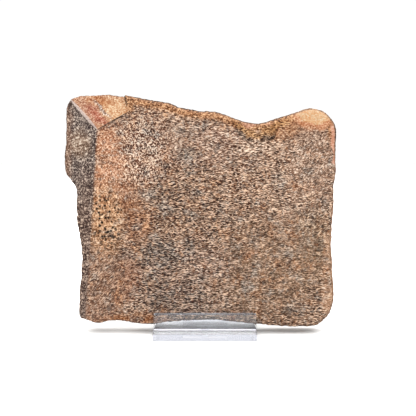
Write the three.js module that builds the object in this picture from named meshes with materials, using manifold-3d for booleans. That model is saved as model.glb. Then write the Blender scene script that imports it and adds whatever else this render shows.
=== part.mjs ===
// A sawn and polished slab of fossil dinosaur bone on a small clear acrylic stand.
// Millimetres, +Z up. The origin is the centre of the stand base's underside, and the
// polished face of the slab looks towards -Y.
import * as THREE from 'three';
import { mergeVertices } from 'three/addons/utils/BufferGeometryUtils.js';
import Module from 'manifold-3d';

const wasm = await Module();
wasm.setup();

// Stand
const STAND_WIDTH = 44.5;
const BASE_DEPTH = 33;
const BASE_THICK = 3;
const LIP_HEIGHT = 7;
const LIP_THICK = 2.5;
const LIP_SETBACK = 4.4;
const BACK_WIDTH = 20.5;
const BACK_THICK = 3;
const BACK_HEIGHT = 48;
const BACK_CORNER = 4;
const BRACE_THICK = 3;
const BRACE_HEIGHT = 27;
const BRACE_NOSE = 3;
const BASE_MARGIN = 2;

// Slab
const LEAN = THREE.MathUtils.degToRad(11);
const SLAB_THICK = 9;
const CONTACT_GAP = 0.3;
const OUTLINE_STEPS = 210;
const SAWN_RIM = 0.6;
const LEFT_FALL = THREE.MathUtils.degToRad(20);

// The slab's outline as seen square on to its polished face, in mm across and up from
// the middle of its lower edge. It runs from the top left corner down the left side.
const OUTLINE = [
  [-60.3, 103.3], [-63.9, 101], [-65.3, 95.6], [-65.2, 88], [-65.5, 83], [-65.2, 80.4],
  [-65.5, 75.5], [-65.1, 69.5], [-63.7, 65], [-61, 62], [-59.6, 59.3], [-59, 52.5],
  [-58.3, 45], [-57, 38], [-56.1, 34], [-55.4, 27.5], [-55.5, 21], [-56.2, 11],
  [-56.3, 4.8], [-55.9, 1.9], [-52.9, 0.9], [-47.6, -0.6], [-42.5, 0.2], [-36.5, 0.3],
  [-31.5, -0.6], [-26, -1.1], [-21.5, -0.7], [-16.5, 0.2], [-9, 0.7], [-1, 1],
  [4.5, 1.1], [10.5, 0.4], [18.5, -0.4], [26, -1.3], [34, -2], [42, -2.2],
  [48.2, -2], [51.8, -0.2], [54.9, 2.9], [57.2, 8], [57.7, 14.5], [57.2, 22],
  [57.3, 26.6], [56.9, 31], [57, 37], [57.5, 45], [58.1, 53], [58.1, 60],
  [59.2, 66], [59.3, 72], [59.7, 78], [60.2, 84], [59.8, 88.7], [57.2, 92.4],
  [54.5, 94.9], [51.2, 96.1], [47.8, 96.5], [44.2, 95.5], [39.5, 93.9], [32, 91.5],
  [28, 90], [24.2, 89.3], [20.3, 89.6], [15, 91.1], [9, 93.4], [4, 94.8],
  [-2, 94.9], [-6.5, 95.8], [-11.3, 96.6], [-15.5, 98.5], [-21, 99.5], [-29, 100.8],
  [-36, 102.2], [-44.5, 103.3], [-53.7, 103.6],
];

// Where the three flat facets of the front meet: the main face, a left facet that falls
// away to the left, and a corner facet at the top left. A is on the outline, B is where
// all three meet, C is the right end of the corner facet's lower edge, and NOTCH is
// where its right side, a small step, meets the top of the outline.
const FACET_A = [-63.3, 101.9];
const FACET_B = [-48.8, 85.8];
const FACET_C = [-34.5, 94.1];
const FACET_NOTCH = [-36.5, 100.6];
const FACET_FOOT = [-52.6, 5];

const acrylic = () => new THREE.MeshStandardMaterial({
  color: 0xeef2f8,
  roughness: 0.05,
  metalness: 0,
  transparent: true,
  opacity: 0.35,
});

const agatisedBone = new THREE.MeshStandardMaterial({
  color: 0x8a6d5c,
  roughness: 0.25,
  metalness: 0,
});

function toSolid(geometry) {
  const plain = geometry.clone();
  plain.deleteAttribute('normal');
  plain.deleteAttribute('uv');
  const merged = mergeVertices(plain, 1e-5);
  const mesh = new wasm.Mesh({
    numProp: 3,
    vertProperties: new Float32Array(merged.attributes.position.array),
    triVerts: new Uint32Array(merged.index.array),
  });
  return new wasm.Manifold(mesh);
}

function toGeometry(solid) {
  const mesh = solid.getMesh();
  const geometry = new THREE.BufferGeometry();
  geometry.setAttribute('position', new THREE.BufferAttribute(mesh.vertProperties, 3));
  geometry.setIndex(new THREE.BufferAttribute(mesh.triVerts, 1));
  geometry.computeVertexNormals();
  return geometry;
}

// A block that cuts a flat facet: its lower face passes through origin, square to up,
// and its near side also passes through origin, square to across.
function facetCutter(origin, across, up, reach) {
  const along = new THREE.Vector3().crossVectors(up, across).normalize();
  const block = new THREE.BoxGeometry(reach, 2 * reach, reach);
  block.translate(reach / 2, 0, reach / 2);
  const place = new THREE.Matrix4().makeBasis(across, along, up);
  place.setPosition(origin);
  block.applyMatrix4(place);
  return toSolid(block);
}

// How wide and how deep the weathered rim rolls over at a point of the outline. It is
// broadest down the lower right side and along the top, where the bone's own outer
// surface is left, and slight where the saw cut it.
function rimSize(across, up) {
  const bump = (value, middle, spread) => Math.exp(-(((value - middle) / spread) ** 2));
  const rightSide = across > 40 ? bump(up, 24, 26) : 0;
  const rightTop = across > 40 ? bump(up, 82, 14) : 0;
  const top = up > 80 && across > -34 ? 1 : 0;
  const width = 0.8 + 3.2 * rightSide + 1.4 * rightTop + 1.2 * top;
  const depth = 0.7 + 2.6 * rightSide + 1.8 * rightTop + 1.6 * top;
  return { width, depth };
}

// How far the weathered edge lies inside the outline, from 0 to about 0.8 mm.
function weathering(turn, depth) {
  const angle = 2 * Math.PI * turn;
  const broad = 0.5 + 0.5 * Math.sin(17 * angle + 0.45 * depth);
  const fine = 0.5 + 0.5 * Math.sin(43 * angle - 1.1 * depth);
  return 0.5 * broad + 0.3 * fine;
}

function smoothed(values, reach) {
  const count = values.length;
  return values.map((unused, index) => {
    let sum = 0;
    for (let step = -reach; step <= reach; step += 1) {
      sum += values[(index + step + count) % count];
    }
    return sum / (2 * reach + 1);
  });
}

// The slab before its facets are cut: rings of the outline from the polished face to
// the sawn back, each moved inwards by the rim's roll or the weathering.
function slabBody() {
  const knots = OUTLINE.map(([across, up]) => new THREE.Vector3(across, 0, up));
  const curve = new THREE.CatmullRomCurve3(knots, true, 'centripetal');
  const points = curve.getSpacedPoints(OUTLINE_STEPS).slice(0, OUTLINE_STEPS);
  const count = points.length;
  const inward = points.map((point, index) => {
    const before = points[(index + count - 2) % count];
    const after = points[(index + 2) % count];
    return new THREE.Vector3(before.z - after.z, 0, after.x - before.x).normalize();
  });
  const sizes = points.map((point) => rimSize(point.x, point.z));
  const widths = smoothed(sizes.map((size) => size.width), 4);
  const depths = smoothed(sizes.map((size) => size.depth), 4);

  const rings = [];
  const addRing = (insetAt, depthAt) => {
    rings.push(points.map((point, index) => {
      const inset = insetAt(index);
      const moved = point.clone().addScaledVector(inward[index], inset);
      moved.y = depthAt(index);
      return moved;
    }));
  };
  for (const degrees of [0, 30, 60, 90]) {
    const angle = THREE.MathUtils.degToRad(degrees);
    addRing(
      (index) => widths[index] * (1 - Math.sin(angle)),
      (index) => depths[index] * (1 - Math.cos(angle)),
    );
  }
  for (const share of [0.33, 0.67]) {
    const depthAt = (index) => depths[index] + share * (SLAB_THICK - SAWN_RIM - depths[index]);
    addRing((index) => weathering(index / count, depthAt(index)), depthAt);
  }
  addRing(() => 0.1, () => SLAB_THICK - SAWN_RIM);
  addRing(() => SAWN_RIM, () => SLAB_THICK);

  const positions = rings.flat().flatMap((point) => [point.x, point.y, point.z]);
  const faces = [];
  for (let ring = 0; ring + 1 < rings.length; ring += 1) {
    for (let index = 0; index < count; index += 1) {
      const next = (index + 1) % count;
      const [a, b] = [ring * count + index, ring * count + next];
      const [c, d] = [a + count, b + count];
      faces.push(a, d, b, a, c, d);
    }
  }
  const capFaces = (ring) => {
    const flat = ring.map((point) => new THREE.Vector2(point.x, point.z));
    return THREE.ShapeUtils.triangulateShape(flat, []);
  };
  const lastRing = (rings.length - 1) * count;
  for (const [a, b, c] of capFaces(rings[0])) {
    faces.push(a, b, c);
  }
  for (const [a, b, c] of capFaces(rings[rings.length - 1])) {
    faces.push(lastRing + a, lastRing + c, lastRing + b);
  }
  const geometry = new THREE.BufferGeometry();
  geometry.setAttribute('position', new THREE.Float32BufferAttribute(positions, 3));
  geometry.setIndex(faces);
  return geometry;
}

// Depth of the left facet's plane below a point of the main face.
function leftFacetDepth([across, up]) {
  const [footAcross, footUp] = FACET_FOOT;
  const run = new THREE.Vector2(FACET_B[0] - footAcross, FACET_B[1] - footUp).normalize();
  const leftwards = -(across - footAcross) * run.y + (up - footUp) * run.x;
  return leftwards * Math.tan(LEFT_FALL);
}

function slabGeometry() {
  const onFace = ([across, up]) => new THREE.Vector3(across, 0, up);
  const pointB = onFace(FACET_B);
  const pointC = onFace(FACET_C);
  const pointA = onFace(FACET_A);
  pointA.y = leftFacetDepth(FACET_A);

  // Left facet: through B and the foot, falling away to the left.
  const edgeUp = pointB.clone().sub(onFace(FACET_FOOT)).normalize();
  const leftOnFace = new THREE.Vector3(-edgeUp.z, 0, edgeUp.x);
  const leftDown = leftOnFace.clone().multiplyScalar(Math.cos(LEFT_FALL));
  leftDown.y = Math.sin(LEFT_FALL);
  const leftOut = new THREE.Vector3().crossVectors(edgeUp, leftDown).normalize();
  if (leftOut.y > 0) {
    leftOut.negate();
  }
  const leftCutter = facetCutter(pointB, leftDown, leftOut, 120);

  // Corner facet: through A, B and C, and bounded on its right by the step at C.
  const cornerOut = new THREE.Vector3()
    .crossVectors(pointA.clone().sub(pointB), pointC.clone().sub(pointB))
    .normalize();
  if (cornerOut.y > 0) {
    cornerOut.negate();
  }
  const stepRun = onFace(FACET_NOTCH).sub(pointC);
  stepRun.addScaledVector(cornerOut, -stepRun.dot(cornerOut)).normalize();
  const awayFromStep = new THREE.Vector3().crossVectors(stepRun, cornerOut).normalize();
  if (awayFromStep.x > 0) {
    awayFromStep.negate();
  }
  const cornerCutter = facetCutter(pointC, awayFromStep, cornerOut, 120);

  const body = toSolid(slabBody());
  return toGeometry(body.subtract(leftCutter).subtract(cornerCutter));
}

// A plate drawn square on, across and up, and given its thickness towards +Y. Its rise
// leans back by LEAN while its top and bottom edges stay level.
function leaningPlate(shape, thickness) {
  const levelThickness = thickness / Math.cos(LEAN);
  const geometry = new THREE.ExtrudeGeometry(shape, {
    depth: levelThickness,
    bevelEnabled: false,
    curveSegments: 6,
  });
  geometry.translate(0, 0, -levelThickness);
  const place = new THREE.Matrix4().set(
    1, 0, 0, 0,
    0, Math.tan(LEAN), -1, 0,
    0, 1, 0, 0,
    0, 0, 0, 1,
  );
  geometry.applyMatrix4(place);
  return geometry;
}

function plate(width, depth, height) {
  const geometry = new THREE.BoxGeometry(width, depth, height);
  geometry.translate(0, 0, height / 2);
  return geometry;
}

function addMesh(parent, name, geometry, material) {
  const mesh = new THREE.Mesh(geometry, material);
  mesh.name = name;
  parent.add(mesh);
  return mesh;
}

const part = new THREE.Group();

const baseFront = -BASE_DEPTH / 2;
addMesh(part, 'stand_base', plate(STAND_WIDTH, BASE_DEPTH, BASE_THICK), acrylic());

const lip = addMesh(part, 'stand_lip', plate(STAND_WIDTH, LIP_THICK, LIP_HEIGHT), acrylic());
lip.position.set(0, baseFront + LIP_SETBACK + LIP_THICK / 2, BASE_THICK);

// The slab stands on its back lower edge: it is set just behind the lip, at the height
// where the lowest point between the stand's ends clears the base.
const slab = addMesh(part, 'fossil_slab', slabGeometry(), agatisedBone);
slab.rotation.x = -LEAN;
const slabPoints = slab.geometry.attributes.position;
let lowest = Infinity;
let foremost = Infinity;
for (let index = 0; index < slabPoints.count; index += 1) {
  const point = new THREE.Vector3().fromBufferAttribute(slabPoints, index);
  const overStand = Math.abs(point.x) < STAND_WIDTH / 2 + 1;
  point.applyEuler(slab.rotation);
  if (overStand) {
    lowest = Math.min(lowest, point.z);
    foremost = Math.min(foremost, point.y);
  }
}
const lipBack = baseFront + LIP_SETBACK + LIP_THICK;
slab.position.set(0, lipBack + CONTACT_GAP - foremost, BASE_THICK + CONTACT_GAP - lowest);

// The back plate's front face runs parallel to the slab's back, just clear of it.
const slabBackAtBase = slab.position.y
  + SLAB_THICK / Math.cos(LEAN)
  - (slab.position.z - BASE_THICK) * Math.tan(LEAN);
const backFoot = slabBackAtBase + CONTACT_GAP / Math.cos(LEAN);
const halfWidth = BACK_WIDTH / 2;
const backShape = new THREE.Shape();
backShape.moveTo(-halfWidth, 0);
backShape.lineTo(halfWidth, 0);
const arcAcross = halfWidth - BACK_CORNER;
const arcUp = BACK_HEIGHT - BACK_CORNER;
backShape.absarc(arcAcross, arcUp, BACK_CORNER, 0, Math.PI / 2);
backShape.absarc(-arcAcross, arcUp, BACK_CORNER, Math.PI / 2, Math.PI);
const back = addMesh(part, 'stand_back', leaningPlate(backShape, BACK_THICK), acrylic());
back.position.set(0, backFoot, BASE_THICK);

// The brace stands on the base's centre line, against the back plate's rear face.
const braceFoot = backFoot + BACK_THICK / Math.cos(LEAN);
const braceEnd = BASE_DEPTH / 2 - BASE_MARGIN;
const braceShape = new THREE.Shape();
braceShape.moveTo(braceFoot, 0);
braceShape.lineTo(braceEnd, 0);
braceShape.lineTo(braceEnd, BRACE_NOSE);
braceShape.lineTo(braceFoot + BRACE_HEIGHT * Math.tan(LEAN) + BRACE_NOSE, BRACE_HEIGHT);
braceShape.lineTo(braceFoot + BRACE_HEIGHT * Math.tan(LEAN), BRACE_HEIGHT);
const braceGeometry = new THREE.ExtrudeGeometry(braceShape, {
  depth: BRACE_THICK,
  bevelEnabled: false,
});
const sideways = new THREE.Matrix4().makeBasis(
  new THREE.Vector3(0, 1, 0),
  new THREE.Vector3(0, 0, 1),
  new THREE.Vector3(1, 0, 0),
);
braceGeometry.applyMatrix4(sideways);
const brace = addMesh(part, 'stand_brace', braceGeometry, acrylic());
brace.position.set(-BRACE_THICK / 2, 0, BASE_THICK);

export default part;
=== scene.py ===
# A sawn and polished slab of fossil dinosaur bone, leaning in a small clear acrylic stand.
import math
import bpy
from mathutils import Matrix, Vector, kdtree


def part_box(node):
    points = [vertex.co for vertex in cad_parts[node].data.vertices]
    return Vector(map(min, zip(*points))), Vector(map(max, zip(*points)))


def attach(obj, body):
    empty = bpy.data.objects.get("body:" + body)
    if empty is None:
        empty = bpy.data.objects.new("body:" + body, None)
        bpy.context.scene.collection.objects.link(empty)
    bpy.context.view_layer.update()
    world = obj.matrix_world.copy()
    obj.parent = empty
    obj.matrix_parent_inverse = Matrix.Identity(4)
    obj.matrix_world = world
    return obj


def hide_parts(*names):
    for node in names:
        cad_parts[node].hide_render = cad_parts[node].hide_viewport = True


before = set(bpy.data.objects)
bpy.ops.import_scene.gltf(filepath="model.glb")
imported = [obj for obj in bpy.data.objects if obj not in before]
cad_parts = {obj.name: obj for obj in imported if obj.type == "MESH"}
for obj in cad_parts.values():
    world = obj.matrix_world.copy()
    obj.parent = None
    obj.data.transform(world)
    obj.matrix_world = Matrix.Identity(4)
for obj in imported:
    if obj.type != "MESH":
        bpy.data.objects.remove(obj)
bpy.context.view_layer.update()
print("frame loaded")

mm = 0.001


def toLinear(hexColour):
    channels = []
    for start in (1, 3, 5):
        value = int(hexColour[start:start + 2], 16) / 255
        channels.append(value / 12.92 if value <= 0.04045 else ((value + 0.055) / 1.055) ** 2.4)
    return (*channels, 1.0)


# Camera, at the photograph's viewing angle
cameraView = {
    "place": (1.3, -199.35, 80.0),  # mm
    "downTilt": 7.13,               # degrees below level
    "lens": 38.94,                  # mm
    "sensorWidth": 36.0,            # mm
    "nearest": 10.0,                # mm, nothing closer than this is drawn
}
cameraData = bpy.data.cameras.new("camera")
cameraData.lens = cameraView["lens"]
cameraData.sensor_width = cameraView["sensorWidth"]
cameraData.clip_start = cameraView["nearest"] * mm
camera = bpy.data.objects.new("camera", cameraData)
camera.location = Vector(cameraView["place"]) * mm
camera.rotation_euler = (math.radians(90 - cameraView["downTilt"]), 0, 0)
bpy.context.scene.collection.objects.link(camera)
bpy.context.scene.camera = camera


# Helpers for modelling
def deselectAll():
    if bpy.context.object and bpy.context.object.mode != "OBJECT":
        bpy.ops.object.mode_set(mode="OBJECT")
    bpy.ops.object.select_all(action="DESELECT")


def makeActive(piece):
    deselectAll()
    piece.select_set(True)
    bpy.context.view_layer.objects.active = piece


def addBox(name, low, high):
    deselectAll()
    middle = [(a + b) / 2 for a, b in zip(low, high)]
    bpy.ops.mesh.primitive_cube_add(size=1, location=middle)
    box = bpy.context.object
    box.name = name
    box.scale = [b - a for a, b in zip(low, high)]
    bpy.ops.object.transform_apply(location=True, rotation=True, scale=True)
    return box


def applyModifier(piece, kind, **settings):
    makeActive(piece)
    modifier = piece.modifiers.new(kind.lower(), kind)
    for name, value in settings.items():
        setattr(modifier, name, value)
    bpy.ops.object.modifier_apply(modifier=modifier.name)


def selectInEditMode(piece, kind, wanted):
    makeActive(piece)
    bpy.ops.object.mode_set(mode="EDIT")
    bpy.ops.mesh.select_mode(type=kind)
    bpy.ops.mesh.select_all(action="DESELECT")
    bpy.ops.object.mode_set(mode="OBJECT")
    mesh = piece.data
    elements = {"VERT": mesh.vertices, "EDGE": mesh.edges, "FACE": mesh.polygons}[kind]
    for element in elements:
        element.select = wanted(mesh, element)
    bpy.ops.object.mode_set(mode="EDIT")


# Helper for materials: one node with its settings and links, which gives back its output
def addNode(tree, kind, settings, inputs, out=None):
    node = tree.nodes.new(kind)
    for name, value in settings.items():
        setattr(node, name, value)
    for name, value in inputs.items():
        if isinstance(name, str):
            socket = [s for s in node.inputs if s.enabled and s.name == name][0]
        else:
            socket = node.inputs[name]
        if isinstance(value, bpy.types.NodeSocket):
            tree.links.new(value, socket)
        else:
            socket.default_value = value
    if out is None:
        return [s for s in node.outputs if s.enabled][0]
    return node.outputs[out]


def newMaterial(name):
    material = bpy.data.materials.new(name)
    material.use_nodes = True
    material.node_tree.nodes.clear()
    return material


# The slab
slabShape = {
    "lean": 11.0,               # degrees, back from upright
    "mergeWithin": 0.002,       # mm, points of the plain slab closer than this are one point
    "voxel": 0.6,               # mm between mesh points
    "footUp": -2.23,            # mm, where the slab's foot is on the scale that the stains use
    "rimFacing": (0.72, 0.9),   # how squarely a point faces front or back where the rim fades out
    "backFacing": (0.8, 0.95),  # how squarely it faces back where the sawn back fades in
    "rimReach": 20.0,           # mm, the farthest distance from the rim that is told apart
    "rindDepth": 0.8,           # mm, how deep the weathered rim is worn
    "rindGrain": 1.7,           # mm across one lump of the rim
    "rindLevel": 0.6,           # the height of the lumps that keeps the slab's outline
    "smoothAngle": 40.0,        # degrees, edges sharper than this stay sharp
}
lean = math.radians(slabShape["lean"])
slab = bpy.data.objects.new("bone_slab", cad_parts["fossil_slab"].data.copy())
bpy.context.scene.collection.objects.link(slab)
makeActive(slab)
bpy.ops.object.mode_set(mode="EDIT")
bpy.ops.mesh.select_all(action="SELECT")
bpy.ops.mesh.remove_doubles(threshold=slabShape["mergeWithin"] * mm)
bpy.ops.object.mode_set(mode="OBJECT")
slab.rotation_euler.x = lean
bpy.ops.object.transform_apply(location=True, rotation=True, scale=True)
applyModifier(slab, "REMESH", mode="VOXEL", voxel_size=slabShape["voxel"] * mm, use_smooth_shade=True)
frontDepth = min(point.co.y for point in slab.data.vertices)
footHeight = min(point.co.z for point in slab.data.vertices)
slabOrigin = Vector((0, frontDepth, footHeight - slabShape["footUp"] * mm))
print("slab remeshed:", len(slab.data.vertices), "points")


def smoothStep(low, high, value):
    share = min(max((value - low) / (high - low), 0), 1)
    return share * share * (3 - 2 * share)


# Which surface each point is on: red on the rim, green on the sawn back, and blue for how far
# the point is from the rim
normals = [point.normal.copy() for point in slab.data.vertices]
rimShare = [1 - smoothStep(*slabShape["rimFacing"], abs(normal.y)) for normal in normals]
rimPoints = [point.co.copy() for point, share in zip(slab.data.vertices, rimShare) if share > 0.5]
rimTree = kdtree.KDTree(len(rimPoints))
for index, place in enumerate(rimPoints):
    rimTree.insert(place, index)
rimTree.balance()
surfaceKind = slab.data.attributes.new("surfaceKind", "FLOAT_COLOR", "POINT")
for index, point in enumerate(slab.data.vertices):
    distance = rimTree.find(point.co)[2] / mm
    back = smoothStep(*slabShape["backFacing"], normals[index].y)
    fromRim = min(distance / slabShape["rimReach"], 1)
    surfaceKind.data[index].color = (rimShare[index], back, fromRim, 1)
rimGroup = slab.vertex_groups.new(name="rim")
for index, share in enumerate(rimShare):
    if share > 0:
        rimGroup.add([index], share, "REPLACE")
rindTexture = bpy.data.textures.new("rindLumps", "CLOUDS")
rindTexture.noise_scale = slabShape["rindGrain"] * mm
rindTexture.noise_depth = 3
applyModifier(
    slab, "DISPLACE", texture=rindTexture, texture_coords="LOCAL", vertex_group="rim",
    mid_level=slabShape["rindLevel"], strength=slabShape["rindDepth"] * mm,
)
slab.rotation_euler.x = -lean
makeActive(slab)
bpy.ops.object.transform_apply(location=True, rotation=True, scale=True)
bpy.ops.object.shade_smooth_by_angle(angle=math.radians(slabShape["smoothAngle"]))
print("slab finished")


# Agatised bone, sawn, lapped and polished: a net of pale walls round dark cells, stained by iron
# and manganese. The eye gets a satin gloss over a busy tan and brown mesh, with a duller rim.
# Cells finer than 0.3 mm are drawn that coarse, because one pixel of the picture covers 0.45 mm.
boneLook = {
    "longCell": (1.45, 0.95, 0.31),       # mm, where the bone's canals lie along the slab
    "roundCell": (0.7, 0.7, 0.7),         # mm, where the saw cut the canals square across
    "slantCell": (1.2, 0.9, 0.42),        # mm, where they rise to the right
    "slantTurn": 40.0,                    # degrees
    "cellGain": 4.4,                      # how hard the cells stand out
    "wallSpread": 1.5,                    # how much wider the walls wander than the cells
    "wallEdge": (0.1, 0.02),              # how far the noise is from its middle beside a wall and on it
    "wallGain": 0.9,                      # how much lighter the walls are
    "wallGround": -0.33,                  # how much darker the spots without a wall are
    "waver": 0.7,                         # mm that the canals are bent
    "waverSize": 3.5,                     # mm from bend to bend
    "cloudSize": (6.0, 5.0, 3.5),         # mm, the broad lighter and darker patches
    "cloudTone": (0.34, 0.66),            # the tone of the darkest and of the lightest patch
    "streakSize": (7.0, 4.0, 0.9),        # mm, the longer dark and pale streaks
    "streakStrength": 0.9,
    "stainWander": 2.8,                   # mm that the edge of a stain wanders
    "stainWanderSize": 5.0,               # mm from one bulge of a stain to the next
    "washes": ((7.0, 0.6), (1.5, 0.55)),  # mm from one rust or grey wash to the next, and strength
    "washEdge": (0.5, 0.72),              # the noise where a wash begins and where it is full
    "rindBand": (4.8, 2.0),               # mm from the rim where the rind ends and where it is full
    "leftFaceSoft": 0.9,                  # mm over which the left face's look begins
    "cornerFaceSoft": 0.3,                # mm, the same for the corner face
    "whiteSpecks": (1.6, 0.55, 0.35),     # mm from spot to spot, mm radius, share of the spots kept
    "whiteGain": 0.9,                     # how much lighter a white speck is
    "pits": (1.45, 0.6, 0.7),             # mm from pit to pit, mm radius, share of the pits kept
    # the pits' near-black is painted shade in their hollows
    "pitShade": "#070504",
    "pitDepth": -3.0,                     # times the relief height
    "sawPitch": 1.4,                      # mm from one saw mark of the back to the next
    "sawHeight": 1.5,                     # times the relief height
    "reliefHeight": 0.08,                 # mm, between a cell and a wall
    "reliefStrength": 0.25,
    "polishRoughness": 0.33,
    "rindRoughness": 0.8,
    "backRoughness": 0.65,
    "refraction": 1.54,
    "gloss": 0.1,                         # a fifth of the usual 0.5, as the polish is satin
}
# The plain look of the face. "grain" is the share of round cells, the share of slanting cells
# and the contrast; "specks" is the pits, the white specks and how much lighter the tone is.
plainBone = {
    "dark": "#200F07", "middle": "#6F4E3B", "pale": "#BCA089",
    "grain": (0.05, 0.0, 1.0), "specks": (0.1, 0.2, 0.0),
}
# Stains, listed one by one, in mm across and up from the slab's own zero, with "turn" in degrees. "much" is
# how far a stain covers what it lies on. "soft" is the share of the reach over which it fades.
usualSoft = 0.55
boneStains = [
    {"at": (0, 79), "reach": (26, 10), "turn": -6, "much": 0.8,
     "dark": "#40271B", "middle": "#816251", "pale": "#B9A18F", "grain": (0.15, 0.0, 1.0)},
    {"at": (-6, 46), "reach": (22, 14), "turn": -10, "much": 0.7, "soft": 0.7,
     "dark": "#1A0D08", "middle": "#583C2C", "pale": "#A58973"},
    {"at": (-29, 76), "reach": (13, 16), "turn": 0, "much": 0.95,
     "dark": "#42271B", "middle": "#8B6957", "pale": "#BCA692", "grain": (1.0, 0.0, 1.05)},
    {"at": (-7, 75), "reach": (6, 3), "turn": 0, "much": 0.8,
     "dark": "#2D241F", "middle": "#574840", "pale": "#928679"},
    {"at": (48, 73), "reach": (11, 17), "turn": 0, "much": 0.9,
     "dark": "#443227", "middle": "#876A57", "pale": "#BEA896", "grain": (0.3, 0.6, 0.95)},
    {"at": (48, 66), "reach": (4, 2.5), "turn": -15, "much": 0.5, "soft": 0.7,
     "dark": "#2D241F", "middle": "#574840", "pale": "#928679"},
    {"at": (47, 36), "reach": (8, 15), "turn": 0, "much": 0.9,
     "dark": "#312517", "middle": "#645140", "pale": "#9C8C76", "grain": (0.1, 0.9, 0.85)},
    {"at": (-5, 18), "reach": (24, 17), "turn": 0, "much": 0.85,
     "dark": "#170B0A", "middle": "#63483B", "pale": "#AC9482", "grain": (0.0, 0.0, 1.0)},
    {"at": (31, 22), "reach": (25, 22), "turn": 0, "much": 0.85,
     "dark": "#3A2B1D", "middle": "#705643", "pale": "#AA907A", "grain": (0.25, 0.05, 0.75)},
    {"at": (-22, 30), "reach": (9, 6), "turn": -20, "much": 0.95,
     "dark": "#080706", "middle": "#372C27", "pale": "#907D6F"},
    {"at": (-20, 11), "reach": (6, 5), "turn": 0, "much": 0.95,
     "dark": "#080706", "middle": "#372C27", "pale": "#907D6F"},
    {"at": (-20, 17), "reach": (16, 14), "turn": 0, "much": 0.45, "soft": 0.7,
     "dark": "#0D0605", "middle": "#46322A", "pale": "#957C6C"},
    {"at": (42, 55), "reach": (11, 17), "turn": 0, "much": 0.5, "soft": 0.7,
     "dark": "#4B372B", "middle": "#8C6F5C", "pale": "#C8B09B"},
    {"at": (9, 84), "reach": (6, 5), "turn": -8, "much": 0.5, "soft": 0.7,
     "dark": "#55372A", "middle": "#967463", "pale": "#CDB4A0"},
    {"at": (-32, 72), "reach": (5, 9), "turn": 0, "much": 0.4, "soft": 0.7,
     "dark": "#5C3A2B", "middle": "#A07A64", "pale": "#CFB49E"},
    {"at": (38, 35), "reach": (6, 6), "turn": 0, "much": 0.6, "soft": 0.7,
     "dark": "#281F18", "middle": "#5C4A3D", "pale": "#968373"},
    {"at": (19, 74), "reach": (6, 5), "turn": 0, "much": 0.55, "soft": 0.7,
     "dark": "#180C08", "middle": "#523D31", "pale": "#9C8473"},
    {"at": (4, 25), "reach": (8, 6), "turn": -10, "much": 0.45, "soft": 0.7,
     "dark": "#332019", "middle": "#7D6152", "pale": "#C0A796"},
    {"at": (-24, 20), "reach": (7, 8), "turn": 0, "much": 0.45, "soft": 0.7,
     "dark": "#0D0605", "middle": "#432F27", "pale": "#8E7565"},
    {"at": (-50, 5), "reach": (7, 5), "turn": 0, "much": 0.6, "soft": 0.7,
     "dark": "#54392E", "middle": "#8C6F61", "pale": "#BCA495"},
    {"at": (-11, 84), "reach": (6, 4), "turn": -6, "much": 0.55, "soft": 0.7,
     "dark": "#261D18", "middle": "#53443A", "pale": "#8F7D6E"},
    {"at": (-16, 57), "reach": (10, 4), "turn": 8, "much": 0.5,
     "dark": "#1C0C0A", "middle": "#4E3A31", "pale": "#A58B75"},
    {"at": (-34, 20), "reach": (5, 10), "turn": 0, "much": 0.6,
     "dark": "#38160A", "middle": "#7A4F39", "pale": "#A9836A", "grain": (0.4, 0.3, 0.8)},
    {"at": (-47, 15), "reach": (11, 15), "turn": -10, "much": 0.95,
     "dark": "#472F21", "middle": "#7A5B49", "pale": "#A38874", "grain": (0.1, 0.9, 0.75)},
    {"at": (-38, 55), "reach": (8, 8), "turn": 0, "much": 0.8,
     "dark": "#5A3522", "middle": "#8A5F46", "pale": "#B3957C", "grain": (0.8, 0.1, 0.7)},
    {"at": (-44, 72), "reach": (7.5, 19), "turn": 0, "much": 0.95,
     "dark": "#774B33", "middle": "#A77659", "pale": "#C5A389", "grain": (0.9, 0.1, 0.75)},
    {"at": (-44.5, 45), "reach": (7, 14), "turn": 4, "much": 0.95,
     "dark": "#5C3A21", "middle": "#A57C5B", "pale": "#CBAB8B", "grain": (0.8, 0.2, 0.75),
     "specks": (1.0, 0.2, 0.0)},
    {"at": (-30, 43), "reach": (6, 9), "turn": 0, "much": 0.75,
     "dark": "#38160A", "middle": "#6F472E", "pale": "#A17353"},
    {"at": (20, 29.5), "reach": (3, 1.8), "turn": 10, "much": 0.5, "soft": 0.8,
     "dark": "#38160A", "middle": "#7A4626", "pale": "#A17353"},
    {"at": (54.7, 18), "reach": (3.4, 19), "turn": 0, "much": 0.95, "soft": 0.2,
     "dark": "#60422B", "middle": "#987259", "pale": "#B99F87", "grain": (0.0, 0.0, 0.75)},
    {"at": (-31, 0.8), "reach": (13, 2.6), "turn": 2, "much": 0.9,
     "dark": "#4A1F0A", "middle": "#7F4E2B", "pale": "#A97D58", "grain": (0.5, 0.0, 0.8)},
    {"at": (-38.5, 90.5), "reach": (4, 3), "turn": 20, "much": 0.7,
     "dark": "#3A2820", "middle": "#685143", "pale": "#A18571"},
]
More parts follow.
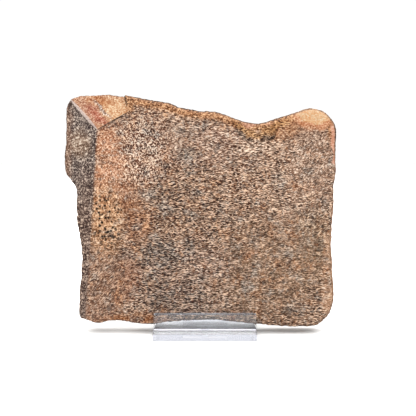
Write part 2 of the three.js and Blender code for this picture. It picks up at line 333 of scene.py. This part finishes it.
# Stains that follow the top edge, laid over the rind
rindStains = [
    {"at": (36, 86), "reach": (8, 4), "turn": 16, "much": 0.6,
     "dark": "#43240F", "middle": "#96613E", "pale": "#BF9670", "grain": (0.3, 0.1, 0.95)},
    {"at": (22.4, 77.8), "reach": (9, 3.2), "turn": 4, "much": 0.7,
     "dark": "#1C0D06", "middle": "#87644F", "pale": "#D8C2AC"},
    {"at": (18.6, 85.6), "reach": (7.5, 1.9), "turn": -40, "much": 0.85,
     "dark": "#241205", "middle": "#7C512D", "pale": "#B38B60"},
    {"at": (30, 85.6), "reach": (8, 2.1), "turn": 32, "much": 0.85,
     "dark": "#241205", "middle": "#7C512D", "pale": "#B38B60"},
    {"at": (17.5, 83.2), "reach": (4.5, 1.2), "turn": -38, "much": 0.8,
     "dark": "#0D0907", "middle": "#3A2E28", "pale": "#8A7564"},
    {"at": (28.5, 82.8), "reach": (3.2, 1.3), "turn": 30, "much": 0.8,
     "dark": "#0D0907", "middle": "#3A2E28", "pale": "#8A7564"},
    {"at": (22.8, 89), "reach": (6, 1.0), "turn": 0, "much": 0.7,
     "dark": "#8A5D45", "middle": "#AB7C66", "pale": "#BC9A87"},
    {"at": (49.5, 90.5), "reach": (8.5, 5.8), "turn": 0, "much": 0.9, "soft": 0.2,
     "dark": "#7F4C2E", "middle": "#A87353", "pale": "#BF997B", "grain": (0.6, 0.0, 0.7)},
    {"at": (50.2, 92.9), "reach": (7.6, 4.6), "turn": 0, "much": 1.0, "soft": 0.15,
     "dark": "#A97850", "middle": "#AE8864", "pale": "#BBA78B", "grain": (0.6, 0.2, 0.6)},
    {"at": (47.5, 83.5), "reach": (6, 3), "turn": 0, "much": 0.6, "soft": 0.6,
     "dark": "#2E1D14", "middle": "#7A5D4B", "pale": "#B09682"},
    {"at": (59.4, 80), "reach": (2.0, 13), "turn": 0, "much": 0.95, "soft": 0.2,
     "dark": "#9A6950", "middle": "#AB7C66", "pale": "#BC9A87", "grain": (0.3, 0.0, 0.6)},
]
leftFace = {
    "dark": "#231A17", "middle": "#4A3D39", "pale": "#94867B",
    "grain": (0.75, 0.35, 0.95), "specks": (0.1, 0.8, 0.0),
}
leftStains = [
    {"at": (-57, 80), "reach": (5, 6), "turn": 0, "much": 0.6,
     "dark": "#4F392A", "middle": "#8B6F5A", "pale": "#B4A28F"},
    {"at": (-65, 78), "reach": (3.5, 26), "turn": 0, "much": 0.6,
     "dark": "#4A3222", "middle": "#785643", "pale": "#A58A75"},
    {"at": (-54, 30), "reach": (6, 34), "turn": 0, "much": 0.85,
     "dark": "#1C0C0A", "middle": "#4E3A31", "pale": "#927D6E"},
]
cornerFace = {
    "dark": "#6A432B", "middle": "#93664A", "pale": "#B99C82",
    "grain": (0.8, 0.2, 0.8), "specks": (0.0, 0.2, 0.0),
}
cornerStains = [
    {"at": (-41.5, 95.5), "reach": (7.5, 6), "turn": -20, "much": 0.95,
     "dark": "#90613D", "middle": "#AA8361", "pale": "#BFA98B"},
    {"at": (-49, 99.5), "reach": (6, 3), "turn": 0, "much": 0.8,
     "dark": "#6A330C", "middle": "#90572D", "pale": "#AC845F"},
    {"at": (-52, 94.5), "reach": (9, 3), "turn": -44, "much": 0.7,
     "dark": "#6F4433", "middle": "#8F644F", "pale": "#AD8D7A"},
    {"at": (-49.5, 92.5), "reach": (6.5, 1.5), "turn": -44, "much": 0.9, "soft": 0.7,
     "dark": "#642C1A", "middle": "#8C4A34", "pale": "#A87A66"},
    {"at": (-47.3, 95.3), "reach": (6, 0.9), "turn": -44, "much": 0.8,
     "dark": "#3F332E", "middle": "#7C6A5F", "pale": "#BBACA2"},
]
rustWash = {"dark": "#3A1607", "middle": "#8A5531", "pale": "#BE9672"}
greyWash = {"dark": "#1B1C1E", "middle": "#57544F", "pale": "#A19C94"}
darkWash = {"dark": "#0E0805", "middle": "#453229", "pale": "#937B69"}
rindBone = {
    "dark": "#3E230F", "middle": "#8E5F3F", "pale": "#B99370", "grain": (0.5, 0.0, 0.9),
}
rimCrust = {
    "dark": "#201108", "middle": "#4B3122", "pale": "#70563F",
    "grain": (0.8, 0.0, 0.9), "specks": (0.0, 0.0, 0.0),
}
rimStains = [
    {"at": (61, 30), "reach": (9, 40), "turn": 0, "much": 0.95,
     "dark": "#4A3322", "middle": "#7C5C46", "pale": "#9C7E64"},
    {"at": (50, 97), "reach": (12, 8), "turn": 0, "much": 0.9,
     "dark": "#4A3322", "middle": "#7C5C46", "pale": "#9C7E64"},
]
sawnBack = {
    "dark": "#35251D", "middle": "#654F42", "pale": "#928071",
    "grain": (0.2, 0.0, 0.8), "specks": (0.0, 0.0, 0.0),
}
# Corners of the facets of the front, in mm across and up on the main face
facetCorners = {
    "foot": (-52.6, 5.0), "meeting": (-48.8, 85.8), "outer": (-63.3, 101.9),
    "right": (-34.5, 94.1), "notch": (-36.8, 101.4), "crackFoot": (-36.0, 98.6),
}
# The rind lies above this line, in mm across and up, and fades out over "soft"
rindLine = {"start": (-40, 88), "end": (60, 82), "soft": 3.0}
throughSlab = 1000      # mm, deep enough that a stain goes through the whole slab
wavePeriod = 0.314      # mm from band to band of a wave texture whose scale is 1
middleTone = 0.5        # the tone that has the middle colour, with dark below and pale above
brightestTone = 1.2


def stainMask(tree, place, stain):
    across, up = stain["at"]
    wide, tall = stain["reach"]
    soft = stain.get("soft", usualSoft)
    centred = addNode(tree, "ShaderNodeMapping", {"vector_type": "TEXTURE"}, {
        "Vector": place,
        "Location": (across, 0, up),
        "Rotation": (0, math.radians(-stain["turn"]), 0),
        "Scale": (wide, throughSlab, tall),
    })
    distance = addNode(tree, "ShaderNodeVectorMath", {"operation": "LENGTH"}, {0: centred}, "Value")
    return addNode(tree, "ShaderNodeMapRange", {"interpolation_type": "SMOOTHSTEP"}, {
        "Value": distance, "From Min": 1 + soft, "From Max": 1 - soft, "To Max": stain["much"],
    })


def leftOfLine(tree, place, start, end, soft):
    run = Vector((end[0] - start[0], end[1] - start[1])).normalized()
    leftwards = (-run.y, 0, run.x)
    offset = -run.y * start[0] + run.x * start[1]
    reach = addNode(tree, "ShaderNodeVectorMath", {"operation": "DOT_PRODUCT"}, {
        0: place, 1: leftwards,
    }, "Value")
    return addNode(tree, "ShaderNodeMapRange", {"interpolation_type": "SMOOTHSTEP"}, {
        "Value": reach, "From Min": offset - soft, "From Max": offset + soft,
    })


def lineStain(start, end, width):
    middle = ((start[0] + end[0]) / 2, (start[1] + end[1]) / 2)
    run = Vector((end[0] - start[0], end[1] - start[1]))
    return {
        "at": middle, "reach": (run.length / 2, width / 2),
        "turn": math.degrees(math.atan2(run.y, run.x)), "much": 0.9, "soft": 0.25,
    }


def layOver(tree, look, mask, change):
    for part in ("dark", "middle", "pale", "grain", "specks"):
        if part in change:
            isColour = isinstance(change[part], str)
            value = toLinear(change[part]) if isColour else change[part]
            look[part] = addNode(tree, "ShaderNodeMix", {"data_type": "RGBA" if isColour else "VECTOR"}, {
                "Factor": mask, "A": look[part], "B": value,
            })


def layStains(tree, look, place, stains, within=None):
    # "within" keeps the stains inside the mask of one surface
    for stain in stains:
        mask = stainMask(tree, place, stain)
        if within is not None:
            mask = addNode(tree, "ShaderNodeMath", {"operation": "MULTIPLY"}, {0: mask, 1: within})
        layOver(tree, look, mask, stain)


def bentPlace(tree, place, size, amount):
    noise = addNode(tree, "ShaderNodeTexNoise", {}, {
        "Vector": place, "Scale": 1 / size, "Detail": 2.0, "Roughness": 0.55,
    }, "Color")
    centred = addNode(tree, "ShaderNodeVectorMath", {"operation": "SUBTRACT"}, {
        0: noise, 1: (0.5, 0.5, 0.5),
    })
    return addNode(tree, "ShaderNodeVectorMath", {"operation": "MULTIPLY_ADD"}, {
        0: centred, 1: (2 * amount, 2 * amount, 2 * amount), 2: place,
    })


def stretchedNoise(tree, place, cell, detail):
    # The turn comes after the stretch, so no rows of the noise line up with the cells
    scaled = addNode(tree, "ShaderNodeMapping", {"vector_type": "POINT"}, {
        "Vector": place, "Scale": tuple(1 / side for side in cell), "Rotation": (0.6, 0.5, 0.8),
    })
    return addNode(tree, "ShaderNodeTexNoise", {}, {
        "Vector": scaled, "Scale": 1.0, "Detail": detail, "Roughness": 0.6,
    }, "Fac")


def thinWalls(tree, place, cell):
    # Pale lines that wander round the cells, where a wider noise passes its middle value
    wider = tuple(boneLook["wallSpread"] * side for side in cell)
    noise = stretchedNoise(tree, place, wider, 0.0)
    fromMiddle = addNode(tree, "ShaderNodeMath", {"operation": "SUBTRACT"}, {0: noise, 1: 0.5})
    away = addNode(tree, "ShaderNodeMath", {"operation": "ABSOLUTE"}, {0: fromMiddle})
    return addNode(tree, "ShaderNodeMapRange", {"interpolation_type": "SMOOTHSTEP"}, {
        "Value": away, "From Min": boneLook["wallEdge"][0], "From Max": boneLook["wallEdge"][1],
    })


def byShares(tree, plain, others, shares):
    # The plain pattern, with the others laid over it in the shares that this spot of the bone has
    mixed = plain
    for share, other in zip(shares, others):
        mixed = addNode(tree, "ShaderNodeMix", {"data_type": "FLOAT"}, {
            "Factor": share, "A": mixed, "B": other,
        })
    return mixed


def scattered(tree, place, spacing, radius, kept):
    # Round spots, one in each cell of a Voronoi pattern, of which only a share is kept. Each spot
    # fades from 0.8 to 1.2 of its radius.
    spot = tree.nodes.new("ShaderNodeTexVoronoi")
    spot.inputs["Scale"].default_value = 1 / spacing
    tree.links.new(place, spot.inputs["Vector"])
    inSpot = addNode(tree, "ShaderNodeMapRange", {"interpolation_type": "SMOOTHSTEP"}, {
        "Value": spot.outputs["Distance"],
        "From Min": 1.2 * radius / spacing,
        "From Max": 0.8 * radius / spacing,
    })
    chance = addNode(tree, "ShaderNodeSeparateColor", {}, {0: spot.outputs["Color"]})
    isKept = addNode(tree, "ShaderNodeMath", {"operation": "LESS_THAN"}, {0: chance, 1: kept})
    return addNode(tree, "ShaderNodeMath", {"operation": "MULTIPLY"}, {0: inSpot, 1: isKept})


boneMaterial = newMaterial("polished_agatised_bone")
tree = boneMaterial.node_tree
objectPlace = addNode(tree, "ShaderNodeTexCoord", {}, {}, "Object")
origin = slabOrigin / mm
slabPlace = addNode(tree, "ShaderNodeMapping", {"vector_type": "POINT"}, {
    "Vector": objectPlace,
    "Location": (-origin.x, -origin.y, -origin.z),
    "Rotation": (lean, 0, 0),
    "Scale": (1 / mm, 1 / mm, 1 / mm),
})
surface = addNode(tree, "ShaderNodeVertexColor", {"layer_name": "surfaceKind"}, {}, "Color")
surfaceParts = tree.nodes.new("ShaderNodeSeparateColor")
tree.links.new(surface, surfaceParts.inputs[0])
onRim, onBack, rimDistance = surfaceParts.outputs
stainPlace = bentPlace(tree, slabPlace, boneLook["stainWanderSize"], boneLook["stainWander"])

look = {
    part: toLinear(value) if isinstance(value, str) else value for part, value in plainBone.items()
}
layStains(tree, look, stainPlace, boneStains)

# Iron and manganese in the stone: broad rust and grey washes, and small flecks of the same
for size, strength in boneLook["washes"]:
    wash = addNode(tree, "ShaderNodeTexNoise", {}, {
        "Vector": slabPlace, "Scale": 1 / size, "Detail": 3.0, "Roughness": 0.6,
    }, "Color")
    washParts = tree.nodes.new("ShaderNodeSeparateColor")
    tree.links.new(wash, washParts.inputs[0])
    for share, change in zip(washParts.outputs, (rustWash, greyWash, darkWash)):
        mask = addNode(tree, "ShaderNodeMapRange", {"interpolation_type": "SMOOTHSTEP"}, {
            "Value": share, "From Min": boneLook["washEdge"][0], "From Max": boneLook["washEdge"][1],
            "To Max": strength,
        })
        layOver(tree, look, mask, change)

# The orange rind is the band next to the top edge; its depth wanders with the stains
rindEnd, rindFull = (distance / slabShape["rimReach"] for distance in boneLook["rindBand"])
nearRim = addNode(tree, "ShaderNodeMapRange", {"interpolation_type": "SMOOTHSTEP"}, {
    "Value": rimDistance, "From Min": rindEnd, "From Max": rindFull,
})
nearTop = leftOfLine(tree, stainPlace, **rindLine)
rindMask = addNode(tree, "ShaderNodeMath", {"operation": "MULTIPLY"}, {0: nearRim, 1: nearTop})
layOver(tree, look, rindMask, rindBone)
layStains(tree, look, stainPlace, rindStains)

# The left face and the corner face, up to their edges
leftMask = leftOfLine(
    tree, slabPlace, facetCorners["foot"], facetCorners["meeting"], boneLook["leftFaceSoft"],
)
layOver(tree, look, leftMask, leftFace)
layStains(tree, look, stainPlace, leftStains, leftMask)
soft = boneLook["cornerFaceSoft"]
lowerLeftSide = leftOfLine(tree, slabPlace, facetCorners["meeting"], facetCorners["outer"], soft)
upperRightSide = addNode(tree, "ShaderNodeMath", {"operation": "SUBTRACT"}, {0: 1.0, 1: lowerLeftSide})
aboveRight = leftOfLine(tree, slabPlace, facetCorners["meeting"], facetCorners["right"], soft)
leftOfNotch = leftOfLine(tree, slabPlace, facetCorners["right"], facetCorners["notch"], soft)
cornerMask = addNode(tree, "ShaderNodeMath", {"operation": "MULTIPLY"}, {
    0: addNode(tree, "ShaderNodeMath", {"operation": "MULTIPLY"}, {0: upperRightSide, 1: aboveRight}),
    1: leftOfNotch,
})
layOver(tree, look, cornerMask, cornerFace)
layStains(tree, look, stainPlace, cornerStains, cornerMask)

# Where facets meet: a pale bruised edge with a painted highlight along it, a dark crack, and a step drawn
# dark as painted shade, with their widths in mm
# The bright edge colour: pale bruised stone, lightened further as a painted highlight
chippedEdgeHighlight = {"dark": "#93817A", "middle": "#A5948C", "pale": "#B0A299"}
# The dark line colour: painted shade along the step, used as well for the dark crack
darkCrackAndStepShade = {"dark": "#20140E", "middle": "#382B22", "pale": "#58473C"}
for start, end, width, change in (
    (facetCorners["meeting"], facetCorners["outer"], 1.3, chippedEdgeHighlight),
    (facetCorners["meeting"], facetCorners["right"], 0.7, darkCrackAndStepShade),
    (facetCorners["crackFoot"], facetCorners["notch"], 0.8, darkCrackAndStepShade),
):
    layOver(tree, look, stainMask(tree, slabPlace, lineStain(start, end, width)), change)

# The weathered rim, paler down its right side, and the plain sawn back
layOver(tree, look, onRim, rimCrust)
layStains(tree, look, slabPlace, rimStains, onRim)
layOver(tree, look, onBack, sawnBack)

# The cell pattern
grainParts = tree.nodes.new("ShaderNodeSeparateXYZ")
tree.links.new(look["grain"], grainParts.inputs[0])
roundShare, slantShare, contrast = grainParts.outputs
speckParts = tree.nodes.new("ShaderNodeSeparateXYZ")
tree.links.new(look["specks"], speckParts.inputs[0])
pitShare, whiteShare, lighter = speckParts.outputs
bent = bentPlace(tree, slabPlace, boneLook["waverSize"], boneLook["waver"])
slanted = addNode(tree, "ShaderNodeMapping", {"vector_type": "TEXTURE"}, {
    "Vector": bent, "Rotation": (0, math.radians(-boneLook["slantTurn"]), 0),
})
# Where each kind of cell is drawn, its size and how much finer detail its noise has
cellKinds = (
    (bent, boneLook["longCell"], 1.5),
    (bent, boneLook["roundCell"], 1.0),
    (slanted, boneLook["slantCell"], 1.5),
)
shares = (roundShare, slantShare)
cells = [stretchedNoise(tree, place, cell, detail) for place, cell, detail in cellKinds]
walls = [thinWalls(tree, place, cell) for place, cell, detail in cellKinds]
cellNoise = byShares(tree, cells[0], cells[1:], shares)
wallNoise = byShares(tree, walls[0], walls[1:], shares)
clouds = stretchedNoise(tree, slabPlace, boneLook["cloudSize"], 3.0)
cloudTone = addNode(tree, "ShaderNodeMapRange", {}, {
    "Value": clouds, "From Min": 0.3, "From Max": 0.7,
    "To Min": boneLook["cloudTone"][0], "To Max": boneLook["cloudTone"][1],
})
streaks = addNode(tree, "ShaderNodeMath", {"operation": "SUBTRACT"}, {
    0: stretchedNoise(tree, bent, boneLook["streakSize"], 2.0), 1: 0.5,
})
cloudTone = addNode(tree, "ShaderNodeMath", {"operation": "MULTIPLY_ADD"}, {
    0: streaks, 1: boneLook["streakStrength"], 2: cloudTone,
})
gain = addNode(tree, "ShaderNodeMath", {"operation": "MULTIPLY"}, {0: contrast, 1: boneLook["cellGain"]})
swing = addNode(tree, "ShaderNodeMath", {"operation": "SUBTRACT"}, {0: cellNoise, 1: 0.5})
tone = addNode(tree, "ShaderNodeMath", {"operation": "MULTIPLY_ADD"}, {0: swing, 1: gain, 2: cloudTone})
wallTone = addNode(tree, "ShaderNodeMath", {"operation": "MULTIPLY_ADD"}, {
    0: wallNoise, 1: boneLook["wallGain"], 2: boneLook["wallGround"],
})
tone = addNode(tree, "ShaderNodeMath", {"operation": "MULTIPLY_ADD"}, {0: wallTone, 1: contrast, 2: tone})
tone = addNode(tree, "ShaderNodeMath", {"operation": "ADD"}, {0: tone, 1: lighter})
whiteSpeck = addNode(tree, "ShaderNodeMath", {"operation": "MULTIPLY"}, {
    0: scattered(tree, bent, *boneLook["whiteSpecks"]), 1: whiteShare,
})
pit = addNode(tree, "ShaderNodeMath", {"operation": "MULTIPLY"}, {
    0: scattered(tree, slabPlace, *boneLook["pits"]), 1: pitShare,
})
tone = addNode(tree, "ShaderNodeMath", {"operation": "MULTIPLY_ADD"}, {
    0: whiteSpeck, 1: boneLook["whiteGain"], 2: tone,
})
lowerTone = addNode(tree, "ShaderNodeMapRange", {}, {"Value": tone, "From Max": middleTone})
upperTone = addNode(tree, "ShaderNodeMapRange", {}, {
    "Value": tone, "From Min": middleTone, "From Max": brightestTone,
    "To Max": (brightestTone - middleTone) / middleTone,
})
boneColour = addNode(tree, "ShaderNodeMix", {"data_type": "RGBA"}, {
    "Factor": lowerTone, "A": look["dark"], "B": look["middle"],
})
boneColour = addNode(tree, "ShaderNodeMix", {"data_type": "RGBA", "clamp_factor": False}, {
    "Factor": upperTone, "A": boneColour, "B": look["pale"],
})
# The pits: painted shade in their hollows, laid over the colour
boneColour = addNode(tree, "ShaderNodeMix", {"data_type": "RGBA"}, {
    "Factor": pit, "A": boneColour, "B": toLinear(boneLook["pitShade"]),
})
sawMarks = addNode(tree, "ShaderNodeTexWave", {"wave_type": "BANDS", "bands_direction": "DIAGONAL"}, {
    "Vector": bent, "Scale": wavePeriod / boneLook["sawPitch"], "Distortion": 1.5, "Detail": 2.0,
}, "Fac")
sawTone = addNode(tree, "ShaderNodeMath", {"operation": "MULTIPLY"}, {0: sawMarks, 1: onBack})
relief = addNode(tree, "ShaderNodeMath", {"operation": "MULTIPLY_ADD"}, {
    0: pit, 1: boneLook["pitDepth"], 2: tone,
})
relief = addNode(tree, "ShaderNodeMath", {"operation": "MULTIPLY_ADD"}, {
    0: sawTone, 1: boneLook["sawHeight"], 2: relief,
})
bump = addNode(tree, "ShaderNodeBump", {}, {
    "Height": relief, "Strength": boneLook["reliefStrength"], "Distance": boneLook["reliefHeight"] * mm,
})
roughness = addNode(tree, "ShaderNodeMapRange", {}, {
    "Value": onRim, "To Min": boneLook["polishRoughness"], "To Max": boneLook["rindRoughness"],
})
roughness = addNode(tree, "ShaderNodeMix", {"data_type": "FLOAT"}, {
    "Factor": onBack, "A": roughness, "B": boneLook["backRoughness"],
})
shader = addNode(tree, "ShaderNodeBsdfPrincipled", {}, {
    "Base Color": boneColour, "Roughness": roughness, "Normal": bump,
    "IOR": boneLook["refraction"], "Specular IOR Level": boneLook["gloss"],
})
output = tree.nodes.new("ShaderNodeOutputMaterial")
tree.links.new(shader, output.inputs["Surface"])
slab.data.materials.clear()
slab.data.materials.append(boneMaterial)
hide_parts("fossil_slab")
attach(slab, "root")
print("bone material made")


# The stand: plates glued into one clear piece
standShape = {
    "glueOverlap": 0.3,   # mm, how far each plate is let into the base so the joint vanishes
    "backCorner": 4.0,    # mm, the rounding of the back strip's upper corners
    "braceNose": 3.0,     # mm, the flat top of the brace
    "edgeBevel": 0.15,    # mm, the flame-polished edge
    "bevelAngle": 40.0,   # degrees, edges sharper than this are polished round
    "smoothAngle": 35.0,  # degrees, edges sharper than this stay sharp
    "closeBy": 0.1,       # mm, points closer than this count as level or in line
}
overlap = standShape["glueOverlap"] * mm
closeBy = standShape["closeBy"] * mm


def polishEdges(plate):
    applyModifier(
        plate, "BEVEL", width=standShape["edgeBevel"] * mm, segments=2, limit_method="ANGLE",
        angle_limit=math.radians(standShape["bevelAngle"]),
    )


stand = addBox("clear_stand", *(tuple(corner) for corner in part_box("stand_base")))
lipLow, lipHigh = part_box("stand_lip")
lip = addBox("lip", (lipLow.x, lipLow.y, lipLow.z - overlap), tuple(lipHigh))
# The back plate: an upright box whose top is slid back by the lean
backLow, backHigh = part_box("stand_back")
tanLean = math.tan(lean)
backHeight = backHigh.z - backLow.z
backThick = (backHigh.y - backLow.y) - backHeight * tanLean
back = addBox(
    "back",
    (backLow.x, backLow.y - overlap * tanLean, backLow.z - overlap),
    (backHigh.x, backLow.y - overlap * tanLean + backThick, backHigh.z),
)
selectInEditMode(back, "VERT", lambda mesh, point: point.co.z > backHigh.z - closeBy)
bpy.ops.transform.translate(value=(0, (backHeight + overlap) * tanLean, 0))
bpy.ops.object.mode_set(mode="OBJECT")


def isTopCorner(mesh, edge):
    first, second = (mesh.vertices[index].co for index in edge.vertices)
    atTop = min(first.z, second.z) > backHigh.z - closeBy
    return atTop and abs(first.x - second.x) < closeBy


selectInEditMode(back, "EDGE", isTopCorner)
bpy.ops.mesh.bevel(offset=standShape["backCorner"] * mm, segments=8)
bpy.ops.object.mode_set(mode="OBJECT")
# The brace: its front leans with the back plate, and its rear slopes down to the base
braceLow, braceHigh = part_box("stand_brace")
braceRise = braceHigh.z - braceLow.z
brace = addBox(
    "brace",
    (braceLow.x, braceLow.y - overlap * tanLean - overlap, braceLow.z - overlap),
    (braceHigh.x, braceHigh.y, braceHigh.z),
)


def atBraceTop(front):
    def wanted(mesh, point):
        isFront = point.co.y < (braceLow.y + braceHigh.y) / 2
        return point.co.z > braceHigh.z - closeBy and isFront == front
    return wanted


selectInEditMode(brace, "VERT", atBraceTop(True))
bpy.ops.transform.translate(value=(0, (braceRise + overlap) * tanLean, 0))
bpy.ops.object.mode_set(mode="OBJECT")
topBack = braceLow.y + braceRise * tanLean + standShape["braceNose"] * mm
selectInEditMode(brace, "VERT", atBraceTop(False))
bpy.ops.transform.translate(value=(0, topBack - braceHigh.y, 0))
bpy.ops.object.mode_set(mode="OBJECT")
polishEdges(stand)
for plate in (lip, back, brace):
    polishEdges(plate)
    applyModifier(stand, "BOOLEAN", operation="UNION", solver="EXACT", object=plate)
    bpy.data.objects.remove(plate)
makeActive(stand)
bpy.ops.object.shade_smooth_by_angle(angle=math.radians(standShape["smoothAngle"]))
applyModifier(stand, "WEIGHTED_NORMAL", mode="FACE_AREA", weight=100, keep_sharp=True)
print("stand finished")

# Clear cast acrylic, laser cut and flame polished: water-clear with bright crisp edges and a faint
# blue tint that gathers where the eye looks through a long way of it
acrylicLook = {
    "colour": "#FCFDFF",
    "refraction": 1.49,
    "tint": "#5964A7",
    "tintDensity": 9.0,  # for each metre that light goes through
}
acrylicMaterial = newMaterial("clear_cast_acrylic")
tree = acrylicMaterial.node_tree
shader = addNode(tree, "ShaderNodeBsdfPrincipled", {}, {
    "Base Color": toLinear(acrylicLook["colour"]), "Roughness": 0.0, "IOR": acrylicLook["refraction"],
    "Transmission Weight": 1.0,
})
tint = addNode(tree, "ShaderNodeVolumeAbsorption", {}, {
    "Color": toLinear(acrylicLook["tint"]), "Density": acrylicLook["tintDensity"],
})
output = tree.nodes.new("ShaderNodeOutputMaterial")
tree.links.new(shader, output.inputs["Surface"])
tree.links.new(tint, output.inputs["Volume"])
stand.data.materials.clear()
stand.data.materials.append(acrylicMaterial)
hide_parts("stand_base", "stand_lip", "stand_back", "stand_brace")
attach(stand, "root")
print("acrylic made")

# Floor and light. The floor is matt white paper: a plain pale ground under a soft shadow
studio = {
    "floorSize": 6.0,               # m
    "floorGap": 0.05,               # mm of air under the stand, which keeps its underside mirror bright
    "floorColour": "#FBFAF8",
    "floorRoughness": 0.6,
    "worldStrength": 1.05,
    "lampPlace": (0.0, 0.03, 0.9),  # m
    "lampAim": (0.0, 0.0, 0.05),    # m
    "lampSize": 1.6,                # m along each side
    "lampPower": 23.8,              # W
}
deselectAll()
bpy.ops.mesh.primitive_grid_add(
    x_subdivisions=4, y_subdivisions=4, size=studio["floorSize"], location=(0, 0, -studio["floorGap"] * mm),
)
floor = bpy.context.object
floor.name = "floor"
floorMaterial = newMaterial("matt_white_paper")
tree = floorMaterial.node_tree
shader = addNode(tree, "ShaderNodeBsdfPrincipled", {}, {
    "Base Color": toLinear(studio["floorColour"]), "Roughness": studio["floorRoughness"],
})
output = tree.nodes.new("ShaderNodeOutputMaterial")
tree.links.new(shader, output.inputs["Surface"])
floor.data.materials.append(floorMaterial)
world = bpy.data.worlds.new("studio")
bpy.context.scene.world = world
world.use_nodes = True
background = world.node_tree.nodes["Background"]
background.inputs["Color"].default_value = (1, 1, 1, 1)
background.inputs["Strength"].default_value = studio["worldStrength"]
lampData = bpy.data.lights.new("softbox", "AREA")
lampData.size = studio["lampSize"]
lampData.energy = studio["lampPower"]
lamp = bpy.data.objects.new("softbox", lampData)
lamp.location = studio["lampPlace"]
lampLine = Vector(studio["lampAim"]) - lamp.location
lamp.rotation_euler = lampLine.to_track_quat("-Z", "Y").to_euler()
bpy.context.scene.collection.objects.link(lamp)
bpy.context.scene.view_settings.view_transform = "Standard"
print("studio set")
